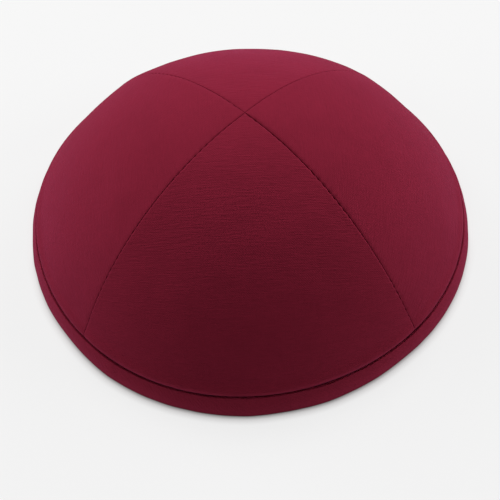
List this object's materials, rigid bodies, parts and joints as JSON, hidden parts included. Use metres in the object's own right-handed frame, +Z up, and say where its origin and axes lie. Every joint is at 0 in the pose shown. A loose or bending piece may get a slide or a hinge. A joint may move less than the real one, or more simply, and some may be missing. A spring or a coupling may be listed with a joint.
{
  "type": "kippah",
  "caption": "Shallow round cloth skullcap of sewn three-sided panels that meet at its peak, with a folded cloth band round its rim.",
  "frame": {"origin": "on the surface that the cap rests on, below the middle of its rim", "axes": "+Z up through the peak, -Y towards the front panel, +X towards the panel on the right as seen from the front"},
  "size_m": [0.1674, 0.1617, 0.061],
  "materials": {
    "panel_cloth": "matte plain-woven cotton, burgundy",
    "band_cloth": "matte plain-woven cotton, burgundy"
  },
  "bodies": {
    "root": {"panel_back": "panel_cloth", "panel_left": "panel_cloth", "panel_front": "panel_cloth", "panel_right": "panel_cloth", "rim_band": "band_cloth"}
  },
  "joints": []
}
